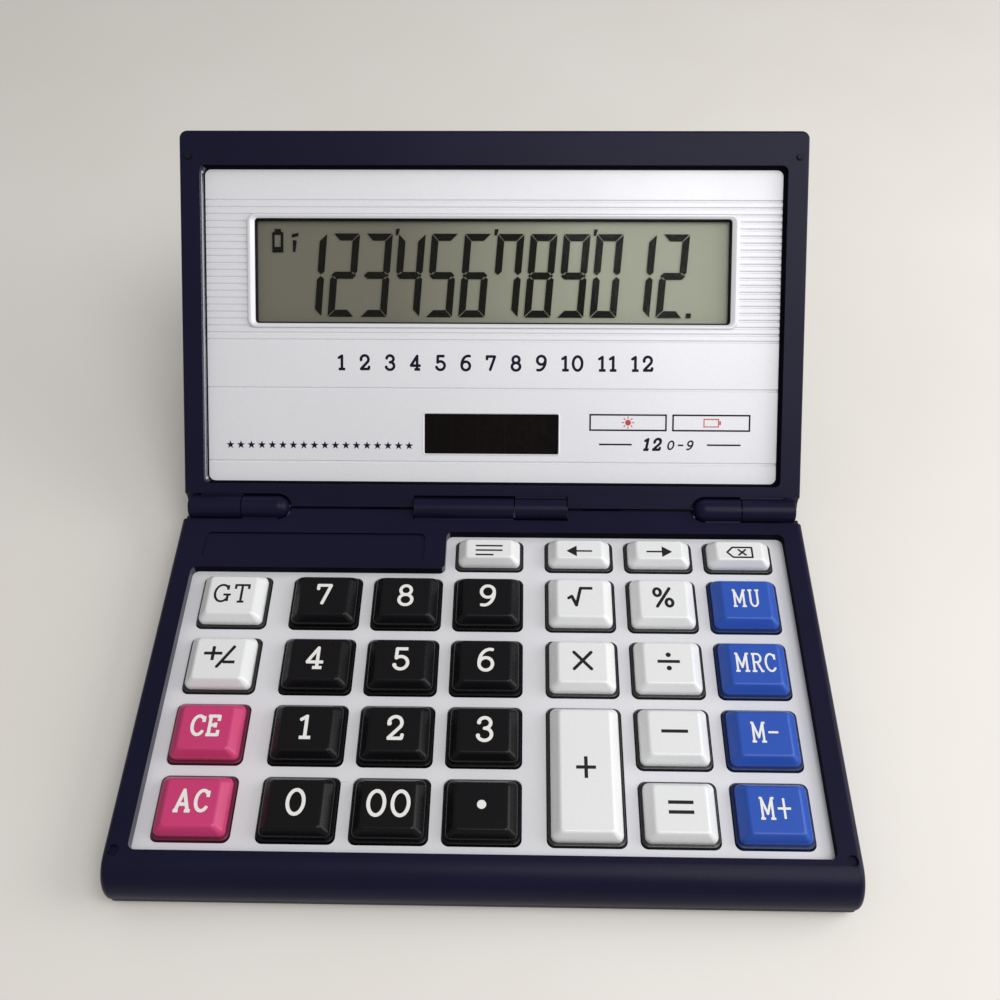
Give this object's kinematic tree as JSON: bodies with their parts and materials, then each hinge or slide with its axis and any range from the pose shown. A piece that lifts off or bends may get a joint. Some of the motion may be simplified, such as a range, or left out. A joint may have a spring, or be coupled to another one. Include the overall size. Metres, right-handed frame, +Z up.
{
  "type": "folding desk calculator",
  "caption": "Folding desk calculator: keypad base with sprung keys and a hinged lid that carries the display and solar cell, drawn open against its stops.",
  "frame": {"origin": "middle of the open part's footprint, on the desk plane under the rubber feet", "axes": "+X to the user's right, +Y to the rear along the desk, +Z up"},
  "size_m": [0.1606, 0.176, 0.0749],
  "materials": {
    "case_navy": "satin",
    "case_dark": "satin",
    "panel_silver": "satin silver paint",
    "key_black": "satin",
    "key_white": "gloss",
    "key_pink": "satin",
    "key_blue": "satin",
    "silicone": "matt",
    "board": "solder mask",
    "screw_steel": "zinc plated",
    "pin_steel": "drawn",
    "cell_steel": "nickel plated",
    "contact_brass": "plated",
    "foot_rubber": "matt",
    "lead_rubber": "matt",
    "chip_black": "epoxy",
    "window_clear": "clear acrylic",
    "display_glass": "satin display glass",
    "solar_glass": "gloss"
  },
  "bodies": {
    "base": {"base_bottom_case": "case_dark", "base_top_case": "case_navy", "keypad_panel": "panel_silver", "key_membrane": "silicone", "key_board": "board", "base_screws": "screw_steel", "rubber_feet": "foot_rubber", "button_cell": "cell_steel", "battery_contacts": "contact_brass", "battery_door": "case_dark", "battery_door_screw": "screw_steel", "base_lead": "lead_rubber"},
    "lid": {"lid_frame": "case_navy", "lid_back_cover": "case_navy", "display_panel": "panel_silver", "lcd_window": "window_clear", "lcd_glass": "display_glass", "lcd_connector": "silicone", "display_board": "board", "chip_cover": "chip_black", "solar_cell": "solar_glass", "lid_screws": "screw_steel", "hinge_pins": "pin_steel", "hinge_caps": "case_navy", "closing_pips": "foot_rubber", "lid_lead": "lead_rubber"},
    "key_recall": {"key_recall": "key_white"},
    "key_back": {"key_back": "key_white"},
    "key_forward": {"key_forward": "key_white"},
    "key_correct": {"key_correct": "key_white"},
    "key_grand_total": {"key_grand_total": "key_white"},
    "key_seven": {"key_seven": "key_black"},
    "key_eight": {"key_eight": "key_black"},
    "key_nine": {"key_nine": "key_black"},
    "key_root": {"key_root": "key_white"},
    "key_percent": {"key_percent": "key_white"},
    "key_mark_up": {"key_mark_up": "key_blue"},
    "key_sign": {"key_sign": "key_white"},
    "key_four": {"key_four": "key_black"},
    "key_five": {"key_five": "key_black"},
    "key_six": {"key_six": "key_black"},
    "key_times": {"key_times": "key_white"},
    "key_divide": {"key_divide": "key_white"},
    "key_memory_recall": {"key_memory_recall": "key_blue"},
    "key_clear_entry": {"key_clear_entry": "key_pink"},
    "key_one": {"key_one": "key_black"},
    "key_two": {"key_two": "key_black"},
    "key_three": {"key_three": "key_black"},
    "key_minus": {"key_minus": "key_white"},
    "key_memory_minus": {"key_memory_minus": "key_blue"},
    "key_clear_all": {"key_clear_all": "key_pink"},
    "key_zero": {"key_zero": "key_black"},
    "key_double_zero": {"key_double_zero": "key_black"},
    "key_point": {"key_point": "key_black"},
    "key_equals": {"key_equals": "key_white"},
    "key_memory_plus": {"key_memory_plus": "key_blue"},
    "key_plus": {"key_plus": "key_white"}
  },
  "joints": [
    {"name": "lid_hinge", "type": "hinge", "parent": "base", "child": "lid", "pos_m": [0, 0.00922, 0.0122], "axis": [1, 0, 0], "range_deg": [0, 139]},
    {"name": "press_recall", "type": "slide", "parent": "base", "child": "key_recall", "axis": [0, 0, -1], "range_m": [0, 0.0015], "stiffness_N_per_m": 400, "springref_m": -0.0005, "deforming": ["key_membrane"]},
    {"name": "press_back", "type": "slide", "parent": "base", "child": "key_back", "axis": [0, 0, -1], "range_m": [0, 0.0015], "stiffness_N_per_m": 400, "springref_m": -0.0005, "deforming": ["key_membrane"]},
    {"name": "press_forward", "type": "slide", "parent": "base", "child": "key_forward", "axis": [0, 0, -1], "range_m": [0, 0.0015], "stiffness_N_per_m": 400, "springref_m": -0.0005, "deforming": ["key_membrane"]},
    {"name": "press_correct", "type": "slide", "parent": "base", "child": "key_correct", "axis": [0, 0, -1], "range_m": [0, 0.0015], "stiffness_N_per_m": 400, "springref_m": -0.0005, "deforming": ["key_membrane"]},
    {"name": "press_grand_total", "type": "slide", "parent": "base", "child": "key_grand_total", "axis": [0, 0, -1], "range_m": [0, 0.0015], "stiffness_N_per_m": 400, "springref_m": -0.0005, "deforming": ["key_membrane"]},
    {"name": "press_seven", "type": "slide", "parent": "base", "child": "key_seven", "axis": [0, 0, -1], "range_m": [0, 0.0015], "stiffness_N_per_m": 400, "springref_m": -0.0005, "deforming": ["key_membrane"]},
    {"name": "press_eight", "type": "slide", "parent": "base", "child": "key_eight", "axis": [0, 0, -1], "range_m": [0, 0.0015], "stiffness_N_per_m": 400, "springref_m": -0.0005, "deforming": ["key_membrane"]},
    {"name": "press_nine", "type": "slide", "parent": "base", "child": "key_nine", "axis": [0, 0, -1], "range_m": [0, 0.0015], "stiffness_N_per_m": 400, "springref_m": -0.0005, "deforming": ["key_membrane"]},
    {"name": "press_root", "type": "slide", "parent": "base", "child": "key_root", "axis": [0, 0, -1], "range_m": [0, 0.0015], "stiffness_N_per_m": 400, "springref_m": -0.0005, "deforming": ["key_membrane"]},
    {"name": "press_percent", "type": "slide", "parent": "base", "child": "key_percent", "axis": [0, 0, -1], "range_m": [0, 0.0015], "stiffness_N_per_m": 400, "springref_m": -0.0005, "deforming": ["key_membrane"]},
    {"name": "press_mark_up", "type": "slide", "parent": "base", "child": "key_mark_up", "axis": [0, 0, -1], "range_m": [0, 0.0015], "stiffness_N_per_m": 400, "springref_m": -0.0005, "deforming": ["key_membrane"]},
    {"name": "press_sign", "type": "slide", "parent": "base", "child": "key_sign", "axis": [0, 0, -1], "range_m": [0, 0.0015], "stiffness_N_per_m": 400, "springref_m": -0.0005, "deforming": ["key_membrane"]},
    {"name": "press_four", "type": "slide", "parent": "base", "child": "key_four", "axis": [0, 0, -1], "range_m": [0, 0.0015], "stiffness_N_per_m": 400, "springref_m": -0.0005, "deforming": ["key_membrane"]},
    {"name": "press_five", "type": "slide", "parent": "base", "child": "key_five", "axis": [0, 0, -1], "range_m": [0, 0.0015], "stiffness_N_per_m": 400, "springref_m": -0.0005, "deforming": ["key_membrane"]},
    {"name": "press_six", "type": "slide", "parent": "base", "child": "key_six", "axis": [0, 0, -1], "range_m": [0, 0.0015], "stiffness_N_per_m": 400, "springref_m": -0.0005, "deforming": ["key_membrane"]},
    {"name": "press_times", "type": "slide", "parent": "base", "child": "key_times", "axis": [0, 0, -1], "range_m": [0, 0.0015], "stiffness_N_per_m": 400, "springref_m": -0.0005, "deforming": ["key_membrane"]},
    {"name": "press_divide", "type": "slide", "parent": "base", "child": "key_divide", "axis": [0, 0, -1], "range_m": [0, 0.0015], "stiffness_N_per_m": 400, "springref_m": -0.0005, "deforming": ["key_membrane"]},
    {"name": "press_memory_recall", "type": "slide", "parent": "base", "child": "key_memory_recall", "axis": [0, 0, -1], "range_m": [0, 0.0015], "stiffness_N_per_m": 400, "springref_m": -0.0005, "deforming": ["key_membrane"]},
    {"name": "press_clear_entry", "type": "slide", "parent": "base", "child": "key_clear_entry", "axis": [0, 0, -1], "range_m": [0, 0.0015], "stiffness_N_per_m": 400, "springref_m": -0.0005, "deforming": ["key_membrane"]},
    {"name": "press_one", "type": "slide", "parent": "base", "child": "key_one", "axis": [0, 0, -1], "range_m": [0, 0.0015], "stiffness_N_per_m": 400, "springref_m": -0.0005, "deforming": ["key_membrane"]},
    {"name": "press_two", "type": "slide", "parent": "base", "child": "key_two", "axis": [0, 0, -1], "range_m": [0, 0.0015], "stiffness_N_per_m": 400, "springref_m": -0.0005, "deforming": ["key_membrane"]},
    {"name": "press_three", "type": "slide", "parent": "base", "child": "key_three", "axis": [0, 0, -1], "range_m": [0, 0.0015], "stiffness_N_per_m": 400, "springref_m": -0.0005, "deforming": ["key_membrane"]},
    {"name": "press_minus", "type": "slide", "parent": "base", "child": "key_minus", "axis": [0, 0, -1], "range_m": [0, 0.0015], "stiffness_N_per_m": 400, "springref_m": -0.0005, "deforming": ["key_membrane"]},
    {"name": "press_memory_minus", "type": "slide", "parent": "base", "child": "key_memory_minus", "axis": [0, 0, -1], "range_m": [0, 0.0015], "stiffness_N_per_m": 400, "springref_m": -0.0005, "deforming": ["key_membrane"]},
    {"name": "press_clear_all", "type": "slide", "parent": "base", "child": "key_clear_all", "axis": [0, 0, -1], "range_m": [0, 0.0015], "stiffness_N_per_m": 400, "springref_m": -0.0005, "deforming": ["key_membrane"]},
    {"name": "press_zero", "type": "slide", "parent": "base", "child": "key_zero", "axis": [0, 0, -1], "range_m": [0, 0.0015], "stiffness_N_per_m": 400, "springref_m": -0.0005, "deforming": ["key_membrane"]},
    {"name": "press_double_zero", "type": "slide", "parent": "base", "child": "key_double_zero", "axis": [0, 0, -1], "range_m": [0, 0.0015], "stiffness_N_per_m": 400, "springref_m": -0.0005, "deforming": ["key_membrane"]},
    {"name": "press_point", "type": "slide", "parent": "base", "child": "key_point", "axis": [0, 0, -1], "range_m": [0, 0.0015], "stiffness_N_per_m": 400, "springref_m": -0.0005, "deforming": ["key_membrane"]},
    {"name": "press_equals", "type": "slide", "parent": "base", "child": "key_equals", "axis": [0, 0, -1], "range_m": [0, 0.0015], "stiffness_N_per_m": 400, "springref_m": -0.0005, "deforming": ["key_membrane"]},
    {"name": "press_memory_plus", "type": "slide", "parent": "base", "child": "key_memory_plus", "axis": [0, 0, -1], "range_m": [0, 0.0015], "stiffness_N_per_m": 400, "springref_m": -0.0005, "deforming": ["key_membrane"]},
    {"name": "press_plus", "type": "slide", "parent": "base", "child": "key_plus", "axis": [0, 0, -1], "range_m": [0, 0.0015], "stiffness_N_per_m": 400, "springref_m": -0.0005, "deforming": ["key_membrane"]}
  ]
}
